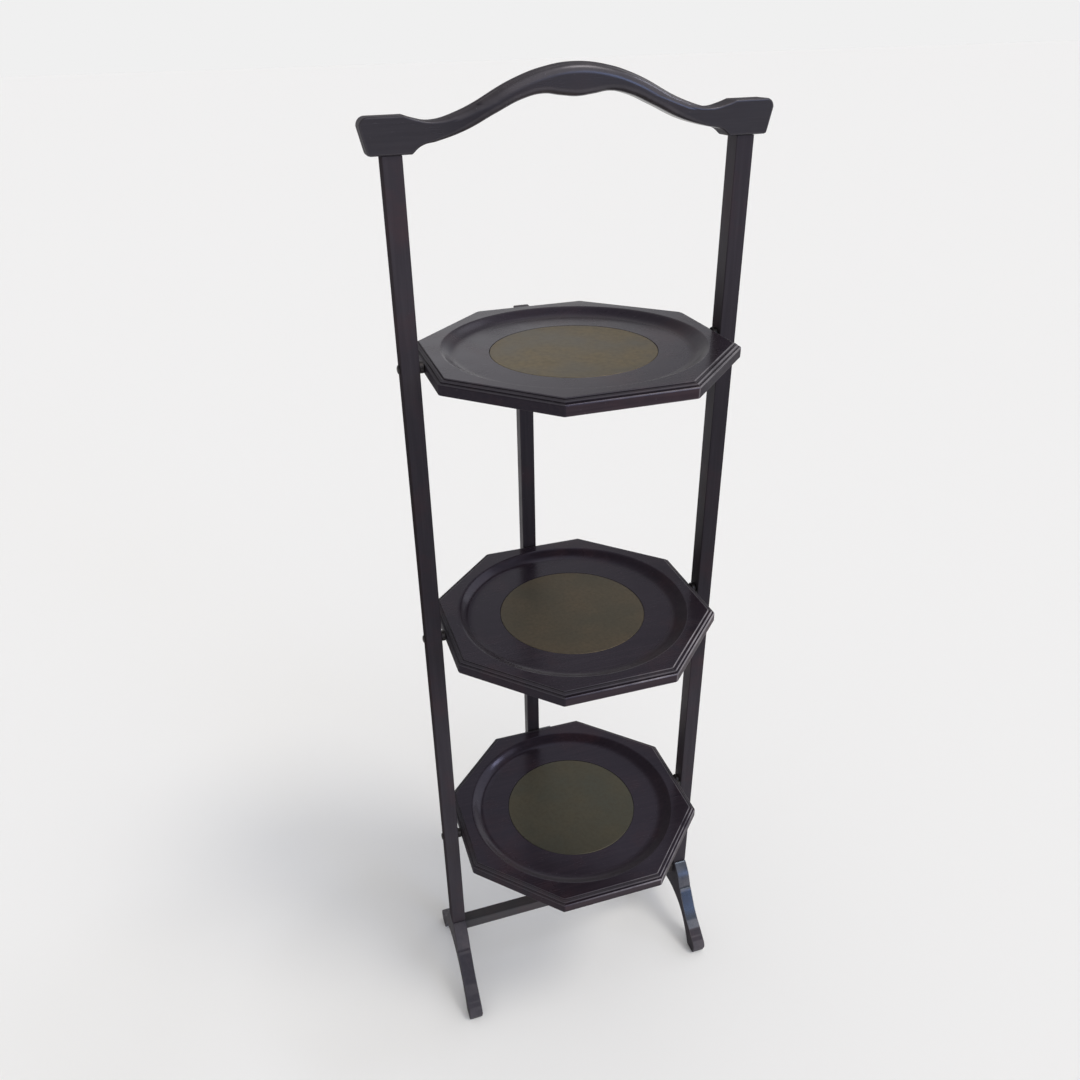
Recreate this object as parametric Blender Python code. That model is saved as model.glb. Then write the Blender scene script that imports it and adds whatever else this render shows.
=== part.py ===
"""Folding three-tier cake stand of ebonised wood.

Two uprights, a serpentine handle, two arched feet and a stretcher make the frame. Three octagonal
dished plates turn on pins through the uprights, and one rear bar ties their back edges together,
so that lifting the bar folds all three plates flat between the uprights.

Metres, +Z up, X across the frame, the front of the stand towards -Y. The origin is on the floor,
in the middle of the space that the open stand takes up.
"""

from math import cos, pi, radians, sin, tan

import bmesh
import bpy
from mathutils import Matrix, Vector
from mathutils.geometry import interpolate_bezier

MM = 0.001

# Fits
SEAT_GAP = 0.3 * MM  # between pieces that are glued, screwed or seated together
RUNNING_GAP = 0.3 * MM  # between pieces that turn on each other
FOLD_GAP = 2.5 * MM  # between the plates' undersides and the rear bar when folded

# Tiers
TIERS = ("lower", "middle", "top")
LOWEST_AXIS = 206 * MM  # height of the lower plate's pivot axis
TIER_SPACING = 244 * MM  # from one pivot axis to the next

# Plates
PLATE_ACROSS_FLATS = 236 * MM
PLATE_THICKNESS = 11.6 * MM
DISH_RADIUS = 103.5 * MM  # at the rim
DISH_DEPTH = 6.0 * MM
COVE_WIDTH = 15 * MM  # the hollow wall between the rim and the dish's floor
LIP_ROUND = 2.6 * MM  # where the cove turns over onto the rim
MOULDING_WIDTH = 5.2 * MM  # from the rim's edge to the plate's side
BEAD_SETBACK = 2.2 * MM  # from the bead to the plate's side
RIM_STEP = 1.2 * MM  # from the rim down to the bead
BEAD_STEP = 1.6 * MM  # from the bead down to the side's shoulder
RIM_ROUND = 0.7 * MM
BEAD_ROUND = 1.3 * MM
SIDE_ROUND = 0.9 * MM
INLAY_RADIUS = 65 * MM
INLAY_THICKNESS = 1.2 * MM
INLAY_CHAMFER = 0.4 * MM

# Frame
SIDE_GAP = 4.1 * MM  # from a plate's side to the upright
UPRIGHT_WIDTH = 14 * MM  # along X
UPRIGHT_DEPTH = 14.5 * MM  # along Y
UPRIGHT_TOP = 840.5 * MM  # height of the handle's underside
TENON_WIDTH = 5 * MM
TENON_DEPTH = 7 * MM
TENON_LENGTH = 15 * MM
FOOT_TENON_OFFSET = 1.6 * MM  # towards the outside, to clear the stretcher
EDGE_EASING = 0.8 * MM  # on the long edges of the square stock

# Handle
HANDLE_THICKNESS = 17.5 * MM
HANDLE_ROUND = 6 * MM  # along the arch
HANDLE_END_ROUND = 1.5 * MM  # at the square ends
HANDLE_ROUND_REACH = 62 * MM  # from the middle to where the rounding starts to fade
HANDLE_FADE_END = 108 * MM
HANDLE_HEEL = 1.8 * MM  # chamfer at the lower corner of each end
HANDLE_HALF_LENGTH = 149 * MM
HANDLE_END_HEIGHT = 23.5 * MM
HANDLE_END_FLAT = 30 * MM  # level top of each end
HANDLE_END_SEAT = 33.5 * MM  # level underside of each end
HANDLE_END_TAPER = 4 * MM  # how far an end leans in towards its foot
HANDLE_CORNER = 6 * MM  # rounding of an end's top corner
HANDLE_CROWN = 50.8 * MM  # top of the arch above the uprights' shoulders
HANDLE_DIP = 19.4 * MM  # lowest point of the top line, beside the ends
GRIP_CENTRE = 29.8 * MM  # underside at the middle, where the grip is thickest
GRIP_SHOULDER = 32.3 * MM  # highest point of the underside, beside the grip

# Feet
FOOT_HEIGHT = 82 * MM
FOOT_HALF_LENGTH = 68 * MM
FOOT_SHOULDER = 1.75 * MM  # ledge in front of the upright
FOOT_STEP_HEIGHT = 57 * MM  # ledge between the shoulder and the leg
FOOT_STEP_REACH = 24.5 * MM
FOOT_STEP_DROP = 2.5 * MM
FOOT_STEP_LEDGE = 1.5 * MM
TOE_HEIGHT = 20 * MM
TOE_SLANT = 2.5 * MM  # how far the toe's nose stands out over its bearing
TOE_CREST = 9 * MM  # from the toe's crest to its nose
TOE_LENGTH = 12.5 * MM  # the toe's bearing on the floor
ARCH_HEIGHT = 42.5 * MM
FOOT_EASING = 0.6 * MM

# Stretcher
STRETCHER_SIZE = 11.8 * MM  # square
STRETCHER_DROP = 10.5 * MM  # its centre line, below the feet's tops
STUB_SIZE = 6 * MM  # its square stub tenons
STUB_LENGTH = 4 * MM

# Pivot pins through the uprights
PIN_RADIUS = 2.0 * MM
PIN_GRIP = 11 * MM  # how far a pin reaches into the plate
PIN_HEAD_RADIUS = 3.4 * MM
PIN_HEAD_HEIGHT = 1.8 * MM
COLLAR_RADIUS = 4.6 * MM

# Rear bar and the hinge blocks that carry it
BAR_WIDTH = 13.6 * MM  # along X
BAR_DEPTH = 12 * MM  # along Y
BAR_OFFSET = -3.2 * MM  # its centre, from the stand's middle
BAR_ABOVE = 17 * MM  # above the top hinge
BAR_BELOW = 13 * MM  # below the bottom hinge
BLOCK_WIDTH = 16 * MM
BLOCK_HEIGHT = 14.5 * MM
BLOCK_SEAT = 22 * MM  # length under the plate
BLOCK_OVERHANG = 16.5 * MM  # beyond the plate's edge
BLOCK_RELIEF = 1.5 * MM  # the overhang lies this much lower than the seat
BLOCK_EASING = 0.6 * MM
HINGE_RADIUS = 1.6 * MM
HINGE_GRIP = 12 * MM  # how far a hinge screw reaches into its block
HINGE_HEAD_RADIUS = 3.4 * MM
HINGE_HEAD_HEIGHT = 1.9 * MM
WASHER_THICKNESS = 1.0 * MM
WASHER_RADIUS = 4.6 * MM
SCREW_RADIUS = 1.6 * MM
SCREW_HEAD_RADIUS = 3.2 * MM
SCREW_GRIP = 6 * MM  # how far a block's screw reaches into the plate
SCREW_SETBACK = 8 * MM  # from the plate's edge

# Facets
ROUND_STEPS = 3  # per quarter of a small rounding
DISH_SIDES = 60
PIN_SIDES = 12
SPAN_STEPS = 4  # per span of a drawn curve

# Sizes that follow from the others
PLATE_HALF = PLATE_ACROSS_FLATS / 2
PLATE_TOP = PLATE_THICKNESS / 2
PLATE_UNDERSIDE = -PLATE_THICKNESS / 2
DISH_FLOOR = PLATE_TOP - DISH_DEPTH
UPRIGHT_INNER = PLATE_HALF + SIDE_GAP
UPRIGHT_CENTRE = UPRIGHT_INNER + UPRIGHT_WIDTH / 2
UPRIGHT_OUTER = UPRIGHT_INNER + UPRIGHT_WIDTH
STRETCHER_HEIGHT = FOOT_HEIGHT - STRETCHER_DROP
AXIS_HEIGHTS = [LOWEST_AXIS + TIER_SPACING * tier for tier in range(len(TIERS))]
BAR_FRONT = PLATE_HALF + SEAT_GAP  # the open plates rest against the bar here
HINGE_REACH = BAR_FRONT + BAR_DEPTH / 2
HINGE_DROP = PLATE_UNDERSIDE - FOLD_GAP - BAR_DEPTH / 2
BAR_RIGHT = BAR_OFFSET + BAR_WIDTH / 2
BLOCK_LEFT = BAR_RIGHT + WASHER_THICKNESS + 2 * RUNNING_GAP
BLOCK_CENTRE = BLOCK_LEFT + BLOCK_WIDTH / 2
BLOCK_TOP = PLATE_UNDERSIDE - SEAT_GAP
BLOCK_END = PLATE_HALF + BLOCK_OVERHANG
PIVOT_PLANE = -(BLOCK_END - PLATE_HALF) / 2  # puts the origin midway between front and back

ALONG_X = Matrix.Rotation(pi / 2, 4, "Y")  # turns a piece made along Z to lie along +X
ALONG_MINUS_X = Matrix.Rotation(-pi / 2, 4, "Y")


def wipe_scene():
    for obj in list(bpy.data.objects):
        bpy.data.objects.remove(obj, do_unlink=True)


def make_material(name, colour, roughness, metallic=0.0):
    material = bpy.data.materials.new(name)
    material.use_nodes = True
    shader = material.node_tree.nodes["Principled BSDF"]
    shader.inputs["Base Color"].default_value = (*colour, 1.0)
    shader.inputs["Roughness"].default_value = roughness
    shader.inputs["Metallic"].default_value = metallic
    return material


def make_empty(name, location, parent=None):
    empty = bpy.data.objects.new(name, None)
    empty.empty_display_size = 20 * MM
    empty.location = location
    empty.parent = parent
    bpy.context.scene.collection.objects.link(empty)
    return empty


# Rings of points, from which every solid is skinned

def octagon(half, z):
    """A regular octagon with flats facing X and Y, half its width across flats."""
    side = half * tan(pi / 8)
    corners = [(half, -side), (half, side), (side, half), (-side, half),
               (-half, side), (-half, -side), (-side, -half), (side, -half)]
    return [Vector((x, y, z)) for x, y in corners]


def circle(radius, z, sides):
    turns = [2 * pi * k / sides for k in range(sides)]
    return [Vector((radius * cos(turn), radius * sin(turn), z)) for turn in turns]


def rectangle(width, depth, z, x=0.0, y=0.0):
    signs = ((-1, -1), (1, -1), (1, 1), (-1, 1))
    return [Vector((x + sx * width / 2, y + sy * depth / 2, z)) for sx, sy in signs]


def turned(profile, sides=PIN_SIDES, matrix=Matrix.Identity(4)):
    """The rings of a turned piece, from (radius, height) pairs along Z, moved by a matrix."""
    return [[matrix @ point for point in circle(radius, z, sides)] for radius, z in profile]


def square_bar(sections, matrix=Matrix.Identity(4)):
    """The rings of a straight piece, from (width, depth, height, x offset) sections along Z."""
    return [[matrix @ point for point in rectangle(width, depth, z, x)] for width, depth, z, x in sections]


def quarter_round(outer, top, radius):
    """Points over a rounded arris: from its level top to its upright side."""
    turns = [k / ROUND_STEPS * pi / 2 for k in range(ROUND_STEPS + 1)]
    return [(outer - radius + radius * sin(turn), top - radius + radius * cos(turn)) for turn in turns]


def drawn_curve(knots):
    """A smooth line through knots, without its last point."""
    points = [Vector(knot) for knot in knots]
    tangents = []
    for k, point in enumerate(points):
        before = points[max(k - 1, 0)]
        after = points[min(k + 1, len(points) - 1)]
        tangents.append((after - before).normalized())
    line = []
    for k in range(len(points) - 1):
        reach = (points[k + 1] - points[k]).length / 3
        handles = (points[k] + tangents[k] * reach, points[k + 1] - tangents[k + 1] * reach)
        line += interpolate_bezier(points[k], *handles, points[k + 1], SPAN_STEPS + 1)[:-1]
    return [(point[0], point[1]) for point in line]


def mirrored(half):
    """A closed outline from the half of it that runs from the middle of one side to the other."""
    other = [(-x, z) for x, z in reversed(half) if abs(x) > SEAT_GAP / 10]
    return half + other


# Solids

def skin(mesh_data, rings):
    """Adds the closed solid that passes through the rings, with a flat cap at each end."""
    loops = [[mesh_data.verts.new(point) for point in ring] for ring in rings]
    count = len(loops[0])
    for lower, upper in zip(loops, loops[1:]):
        for k in range(count):
            step = (k + 1) % count
            mesh_data.faces.new((lower[k], lower[step], upper[step], upper[k]))
    mesh_data.faces.new(loops[0])
    mesh_data.faces.new(loops[-1])


def mesh_of(name, *solids):
    mesh_data = bmesh.new()
    for rings in solids:
        skin(mesh_data, rings)
    bmesh.ops.recalc_face_normals(mesh_data, faces=mesh_data.faces)
    mesh = bpy.data.meshes.new(name)
    mesh_data.to_mesh(mesh)
    mesh_data.free()
    return mesh


def make_piece(name, rings, material, parent, location=(0, 0, 0)):
    mesh = mesh_of(name, rings)
    mesh.materials.append(material)
    mesh.shade_smooth()
    mesh.set_sharp_from_angle(angle=radians(30))
    piece = bpy.data.objects.new(name, mesh)
    piece.parent = parent
    piece.location = location
    bpy.context.scene.collection.objects.link(piece)
    return piece


def ease_edges(piece, width, segments=2, least_angle=50):
    bevel = piece.modifiers.new("eased_edges", "BEVEL")
    bevel.width = width
    bevel.segments = segments
    bevel.limit_method = "ANGLE"
    bevel.angle_limit = radians(least_angle)


def cut(piece, *solids):
    """Cuts solids, given in the piece's own coordinates, out of a piece."""
    cutter = bpy.data.objects.new(piece.name + "_cutter", mesh_of(piece.name + "_cutter", *solids))
    cutter.parent = piece
    cutter.hide_render = True
    cutter.display_type = "WIRE"
    bpy.context.scene.collection.objects.link(cutter)
    boolean = piece.modifiers.new("cut", "BOOLEAN")
    boolean.object = cutter
    boolean.operation = "DIFFERENCE"
    boolean.solver = "EXACT"


def bore(radius, start, end, y=0.0, z=0.0):
    """The rings of a round hole along X."""
    matrix = Matrix.Translation((0, y, z)) @ ALONG_X
    return turned([(radius, start), (radius, end)], PIN_SIDES, matrix)


def domed_head(radius, height):
    """(radius, height) pairs of a low domed head that stands up from height 0."""
    turns = [k / ROUND_STEPS * radians(70) for k in range(ROUND_STEPS + 1)]
    dome = [(radius * cos(turn), height * (0.35 + 0.65 * sin(turn) / sin(radians(70)))) for turn in turns]
    return [(radius, 0.0)] + dome


# Plates

def plate_edge():
    """(half width, height) pairs over the moulded edge: rim, bead, side and underside."""
    bead_top = PLATE_TOP - RIM_STEP
    side_top = bead_top - BEAD_STEP
    rim = quarter_round(PLATE_HALF - MOULDING_WIDTH, PLATE_TOP, RIM_ROUND)
    bead = quarter_round(PLATE_HALF - BEAD_SETBACK, bead_top, BEAD_ROUND)
    side = quarter_round(PLATE_HALF, side_top, SIDE_ROUND)
    underside = [(half, -z) for half, z in reversed(quarter_round(PLATE_HALF, -PLATE_UNDERSIDE, SIDE_ROUND))]
    quirks = [(rim[-1][0], bead_top), (bead[-1][0], side_top)]
    return rim + quirks[:1] + bead + quirks[1:] + side + underside


def dish_profile():
    """(radius, height) pairs of the hollow: the inlay's recess, the floor, the cove and the lip."""
    recess = INLAY_RADIUS + SEAT_GAP
    floor_radius = DISH_RADIUS - COVE_WIDTH
    lip_start = DISH_RADIUS - LIP_ROUND
    profile = [(recess, DISH_FLOOR - INLAY_THICKNESS - SEAT_GAP), (recess, DISH_FLOOR)]
    cove_steps = 2 * ROUND_STEPS
    for k in range(cove_steps + 1):
        turn = k / cove_steps * pi / 2
        radius = floor_radius + (lip_start - floor_radius) * sin(turn)
        profile.append((radius, DISH_FLOOR + (DISH_DEPTH - LIP_ROUND) * (1 - cos(turn))))
    for k in range(1, ROUND_STEPS + 1):
        turn = k / ROUND_STEPS * pi / 2
        radius = lip_start + LIP_ROUND * (1 - cos(turn))
        profile.append((radius, PLATE_TOP - LIP_ROUND * (1 - sin(turn))))
    return profile + [(DISH_RADIUS, PLATE_TOP + PLATE_THICKNESS)]


def make_plate(tier, wood, brass, pivot):
    plate = make_piece(tier + "_plate", [octagon(half, z) for half, z in plate_edge()], wood, pivot)
    hollow = turned(dish_profile(), DISH_SIDES)
    pin_end = PLATE_HALF - PIN_GRIP - SEAT_GAP
    pin_bores = [bore(PIN_RADIUS + RUNNING_GAP, side * pin_end, side * UPRIGHT_INNER) for side in (-1, 1)]
    screw_hole = turned([(SCREW_RADIUS + SEAT_GAP, PLATE_UNDERSIDE - SCREW_GRIP),
                         (SCREW_RADIUS + SEAT_GAP, PLATE_UNDERSIDE + SCREW_GRIP + SEAT_GAP)],
                        PIN_SIDES, Matrix.Translation((BLOCK_CENTRE, PLATE_HALF - SCREW_SETBACK, 0)))
    cut(plate, hollow, *pin_bores, screw_hole)
    disc = [(INLAY_RADIUS, DISH_FLOOR - INLAY_THICKNESS), (INLAY_RADIUS, DISH_FLOOR - INLAY_CHAMFER),
            (INLAY_RADIUS - INLAY_CHAMFER, DISH_FLOOR)]
    make_piece(tier + "_inlay", turned(disc, DISH_SIDES), brass, pivot)


# Frame

def make_upright(name, side, wood, stand):
    """One upright with a tenon at each end and a hole for each plate's pin."""
    tenon = (TENON_WIDTH, TENON_DEPTH)
    stock = (UPRIGHT_WIDTH, UPRIGHT_DEPTH)
    foot_offset = side * FOOT_TENON_OFFSET
    bottom = FOOT_HEIGHT + SEAT_GAP
    top = UPRIGHT_TOP - SEAT_GAP
    sections = [(*tenon, bottom - TENON_LENGTH, foot_offset), (*tenon, bottom, foot_offset),
                (*stock, bottom, 0), (*stock, top, 0), (*tenon, top, 0), (*tenon, top + TENON_LENGTH, 0)]
    upright = make_piece(name, square_bar(sections), wood, stand, (side * UPRIGHT_CENTRE, 0, 0))
    mark_long_edges(upright, bottom, top)
    cut(upright, *[bore(PIN_RADIUS + SEAT_GAP, -UPRIGHT_WIDTH, UPRIGHT_WIDTH, z=z) for z in AXIS_HEIGHTS])


def mark_long_edges(upright, bottom, top):
    """Eases only the four long edges of the stock, and leaves tenons and shoulders square."""
    mesh = upright.data
    weights = mesh.attributes.new("bevel_weight_edge", "FLOAT", "EDGE")
    for edge in mesh.edges:
        low, high = sorted(mesh.vertices[v].co.z for v in edge.vertices)
        is_long = abs(low - bottom) < SEAT_GAP / 10 and abs(high - top) < SEAT_GAP / 10
        weights.data[edge.index].value = 1.0 if is_long else 0.0
    bevel = upright.modifiers.new("eased_edges", "BEVEL")
    bevel.width = EDGE_EASING
    bevel.segments = 2
    bevel.limit_method = "WEIGHT"


def mortise(x, z, length):
    """The rings of a tenon's mortise, from a face at height z to a signed length along Z."""
    size = (TENON_WIDTH + 2 * SEAT_GAP, TENON_DEPTH + 2 * SEAT_GAP)
    return square_bar([(*size, z - length, x), (*size, z + length, x)])


def handle_outline():
    """The serpentine outline in X and Z, with Z from the uprights' shoulders."""
    end_start = HANDLE_HALF_LENGTH - HANDLE_END_FLAT
    seat_end = HANDLE_HALF_LENGTH - HANDLE_END_SEAT
    span = end_start / 7  # the knots stand on seven equal spans of the arch
    rise = HANDLE_CROWN - HANDLE_DIP
    lift = HANDLE_END_HEIGHT - HANDLE_DIP
    top_knots = [(0, HANDLE_CROWN), (1.3 * span, HANDLE_DIP + 0.92 * rise),
                 (2.5 * span, HANDLE_DIP + 0.725 * rise), (4.9 * span, HANDLE_DIP + 0.13 * rise),
                 (5.95 * span, HANDLE_DIP), (6.6 * span, HANDLE_DIP + 0.45 * lift),
                 (end_start, HANDLE_END_HEIGHT)]
    under_knots = [(0, GRIP_CENTRE), (0.7 * span, 0.56 * GRIP_CENTRE + 0.44 * GRIP_SHOULDER),
                   (1.4 * span, GRIP_SHOULDER), (2.25 * span, 0.915 * GRIP_SHOULDER),
                   (3.3 * span, 0.69 * GRIP_SHOULDER), (4.55 * span, 0.4 * GRIP_SHOULDER),
                   (5.75 * span, 0.22 * GRIP_SHOULDER), (6.4 * span, 0.148 * GRIP_SHOULDER), (seat_end, 0)]
    end = [(end_start, HANDLE_END_HEIGHT)]
    end += quarter_round(HANDLE_HALF_LENGTH, HANDLE_END_HEIGHT, HANDLE_CORNER)
    heel = HANDLE_HALF_LENGTH - HANDLE_END_TAPER
    end += [(heel + HANDLE_HEEL / 4, HANDLE_HEEL), (heel - HANDLE_HEEL, 0), (seat_end, 0)]
    half = drawn_curve(top_knots) + end + drawn_curve(under_knots[::-1])[1:]
    return mirrored(half + [(0, GRIP_CENTRE)])


def round_over(handle):
    """Rounds the outline on both faces: fully along the arch, hardly at the ends."""
    mesh = handle.data
    weights = mesh.attributes.new("bevel_weight_edge", "FLOAT", "EDGE")
    for edge in mesh.edges:
        first, second = (mesh.vertices[v].co for v in edge.vertices)
        if abs(first.y - second.y) < SEAT_GAP / 10:
            reach = abs(first.x + second.x) / 2 - HANDLE_ROUND_REACH
            fade = min(1.0, max(0.0, reach / (HANDLE_FADE_END - HANDLE_ROUND_REACH)))
            weights.data[edge.index].value = 1 - fade * (1 - HANDLE_END_ROUND / HANDLE_ROUND)
    bevel = handle.modifiers.new("eased_edges", "BEVEL")
    bevel.width = HANDLE_ROUND
    bevel.segments = 3
    bevel.limit_method = "WEIGHT"
    bevel.use_clamp_overlap = False


def make_handle(wood, stand):
    outline = handle_outline()
    rings = [[Vector((x, y, UPRIGHT_TOP + z)) for x, z in outline]
             for y in (-HANDLE_THICKNESS / 2, HANDLE_THICKNESS / 2)]
    handle = make_piece("handle", rings, wood, stand)
    round_over(handle)
    depth = TENON_LENGTH + SEAT_GAP
    cut(handle, *[mortise(side * UPRIGHT_CENTRE, UPRIGHT_TOP, depth) for side in (-1, 1)])


def foot_outline():
    """Half of it from the top's middle over the toe to the arch's crown, in Y and Z."""
    shoulder = UPRIGHT_DEPTH / 2 + FOOT_SHOULDER
    step_top = FOOT_STEP_HEIGHT + FOOT_STEP_DROP
    ledge = FOOT_STEP_REACH + FOOT_STEP_LEDGE
    toe_back = FOOT_HALF_LENGTH - TOE_SLANT
    toe_tip = toe_back - TOE_LENGTH
    bulge = [((shoulder + FOOT_STEP_REACH) / 2 + 1.4 * MM, (FOOT_HEIGHT + step_top) / 2 + 1.4 * MM)]
    slope = drawn_curve([(shoulder, FOOT_HEIGHT)] + bulge + [(FOOT_STEP_REACH, step_top)])
    instep = FOOT_HALF_LENGTH - TOE_CREST
    sag = [((ledge + instep) / 2, (FOOT_STEP_HEIGHT + TOE_HEIGHT) / 2 - 4.5 * MM)]
    sweep = drawn_curve([(ledge, FOOT_STEP_HEIGHT)] + sag + [(instep, TOE_HEIGHT)])
    toe = drawn_curve([(instep, TOE_HEIGHT), (FOOT_HALF_LENGTH, 0.48 * TOE_HEIGHT), (toe_back, 0)])
    arch = drawn_curve([(toe_tip, 0), (0.91 * toe_tip, 0.22 * ARCH_HEIGHT),
                        (0.8 * toe_tip, 0.45 * ARCH_HEIGHT), (0.6 * toe_tip, 0.74 * ARCH_HEIGHT),
                        (0.32 * toe_tip, 0.93 * ARCH_HEIGHT), (0, ARCH_HEIGHT)])
    step = [(FOOT_STEP_REACH, step_top), (FOOT_STEP_REACH, FOOT_STEP_HEIGHT)]
    upper = [(0, FOOT_HEIGHT)] + slope + step + sweep
    return mirrored(upper + toe + [(toe_back, 0)] + arch + [(0, ARCH_HEIGHT)])


def make_foot(name, side, wood, stand):
    outline = foot_outline()
    rings = [[Vector((x, y, z)) for y, z in outline] for x in (-UPRIGHT_WIDTH / 2, UPRIGHT_WIDTH / 2)]
    foot = make_piece(name, rings, wood, stand, (side * UPRIGHT_CENTRE, 0, 0))
    ease_edges(foot, FOOT_EASING, segments=1, least_angle=60)
    stub = STUB_SIZE + 2 * SEAT_GAP
    inner = -side * UPRIGHT_WIDTH / 2
    depth = STUB_LENGTH + SEAT_GAP
    socket = square_bar([(stub, stub, inner - depth, 0), (stub, stub, inner + depth, 0)],
                        Matrix.Translation((0, 0, STRETCHER_HEIGHT)) @ ALONG_X)
    cut(foot, mortise(side * FOOT_TENON_OFFSET, FOOT_HEIGHT, TENON_LENGTH + SEAT_GAP), socket)


def make_stretcher(wood, stand):
    shoulder = UPRIGHT_INNER - SEAT_GAP
    tip = shoulder + STUB_LENGTH
    stock = (STRETCHER_SIZE, STRETCHER_SIZE)
    stub = (STUB_SIZE, STUB_SIZE)
    sections = [(*stub, -tip, 0), (*stub, -shoulder, 0), (*stock, -shoulder, 0),
                (*stock, shoulder, 0), (*stub, shoulder, 0), (*stub, tip, 0)]
    stretcher = make_piece("stretcher", square_bar(sections), wood, stand, (0, 0, STRETCHER_HEIGHT))
    mark_long_edges(stretcher, -shoulder, shoulder)
    stretcher.rotation_euler = (0, pi / 2, 0)


def make_pivot_pins(tier, height, steel, stand):
    """A headed pin and a spacing collar on each side of a plate."""
    head_seat = UPRIGHT_OUTER + SEAT_GAP
    head = [(radius, head_seat + z) for radius, z in domed_head(PIN_HEAD_RADIUS, PIN_HEAD_HEIGHT)]
    pin = [(PIN_RADIUS, PLATE_HALF - PIN_GRIP), (PIN_RADIUS, head_seat)] + head
    for side, word, matrix in ((-1, "left", ALONG_MINUS_X), (1, "right", ALONG_X)):
        make_piece(f"{tier}_{word}_pin", turned(pin, PIN_SIDES, matrix), steel, stand, (0, 0, height))
        start, end = side * (PLATE_HALF + RUNNING_GAP), side * (UPRIGHT_INNER - RUNNING_GAP)
        sleeve = bore(COLLAR_RADIUS, start, end)
        collar = make_piece(f"{tier}_{word}_collar", sleeve, steel, stand, (0, 0, height))
        cut(collar, bore(PIN_RADIUS + RUNNING_GAP, start - side * SIDE_GAP, end + side * SIDE_GAP))


# Rear linkage

def block_outline():
    """A hinge block in Y and Z: a seat under the plate, and an overhang with a round end."""
    start = PLATE_HALF - BLOCK_SEAT
    low = BLOCK_TOP - BLOCK_RELIEF
    bottom = BLOCK_TOP - BLOCK_HEIGHT
    end_round = (low - bottom) / 2
    centre = BLOCK_END - end_round
    turns = [k / (4 * ROUND_STEPS) * pi for k in range(4 * ROUND_STEPS + 1)]
    nose = [(centre + end_round * sin(turn), bottom + end_round + end_round * cos(turn)) for turn in turns]
    relief = PLATE_HALF - BLOCK_RELIEF
    slant = start + BLOCK_HEIGHT / 2
    top = [(start, BLOCK_TOP), (relief, BLOCK_TOP), (relief, low)]
    return top + nose + [(slant, bottom), (start, bottom + end_round)]


def make_hinge_block(tier, wood, steel, pivot):
    """A block screwed under a plate's back edge, with its fixing screw and the bar's hinge screw."""
    rings = [[Vector((x, y, z)) for y, z in block_outline()] for x in (BLOCK_LEFT, BLOCK_LEFT + BLOCK_WIDTH)]
    block = make_piece(tier + "_hinge_block", rings, wood, pivot)
    ease_edges(block, BLOCK_EASING, segments=1, least_angle=60)
    bottom = BLOCK_TOP - BLOCK_HEIGHT
    screw_place = Matrix.Translation((BLOCK_CENTRE, PLATE_HALF - SCREW_SETBACK, 0))
    sink = SCREW_HEAD_RADIUS - SCREW_RADIUS
    tip = PLATE_UNDERSIDE + SCREW_GRIP
    screw = [(SCREW_HEAD_RADIUS, bottom), (SCREW_RADIUS, bottom + sink), (SCREW_RADIUS, tip - sink),
             (SCREW_RADIUS / 3, tip)]
    wide = SCREW_HEAD_RADIUS + SEAT_GAP
    narrow = SCREW_RADIUS + SEAT_GAP
    sunk_hole = [(wide, bottom - sink), (wide, bottom), (narrow, bottom + sink), (narrow, BLOCK_TOP + sink)]
    hinge_hole = bore(HINGE_RADIUS + SEAT_GAP, BLOCK_LEFT - HINGE_GRIP, BLOCK_LEFT + HINGE_GRIP + SEAT_GAP,
                      HINGE_REACH, HINGE_DROP)
    cut(block, turned(sunk_hole, PIN_SIDES, screw_place), hinge_hole)
    make_piece(tier + "_block_screw", turned(screw, PIN_SIDES, screw_place), steel, pivot)

    head_seat = -(BAR_OFFSET - BAR_WIDTH / 2) + RUNNING_GAP  # measured along -X
    head = [(radius, head_seat + z) for radius, z in domed_head(HINGE_HEAD_RADIUS, HINGE_HEAD_HEIGHT)]
    shank = [(HINGE_RADIUS, -(BLOCK_LEFT + HINGE_GRIP)), (HINGE_RADIUS, head_seat)]
    hinge_place = (0, HINGE_REACH, HINGE_DROP)
    hinge_screw = turned(shank + head, PIN_SIDES, ALONG_MINUS_X)
    make_piece(tier + "_hinge_screw", hinge_screw, steel, pivot, hinge_place)
    start, end = BAR_RIGHT + RUNNING_GAP, BLOCK_LEFT - RUNNING_GAP
    washer = make_piece(tier + "_washer", bore(WASHER_RADIUS, start, end), steel, pivot, hinge_place)
    cut(washer, bore(HINGE_RADIUS + RUNNING_GAP, start - WASHER_THICKNESS, end + WASHER_THICKNESS))


def make_rear_bar(wood, hinge):
    """The bar's own coordinates start at the middle hinge."""
    reach = TIER_SPACING * (len(TIERS) - 1) / 2
    stock = (BAR_WIDTH, BAR_DEPTH)
    sections = [(*stock, -reach - BAR_BELOW, BAR_OFFSET), (*stock, reach + BAR_ABOVE, BAR_OFFSET)]
    bar = make_piece("rear_bar", square_bar(sections), wood, hinge)
    ease_edges(bar, EDGE_EASING)
    holes = [bore(HINGE_RADIUS + RUNNING_GAP, BAR_OFFSET - BAR_WIDTH, BAR_OFFSET + BAR_WIDTH, z=tier * reach)
             for tier in (-1, 0, 1)]
    cut(bar, *holes)


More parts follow.
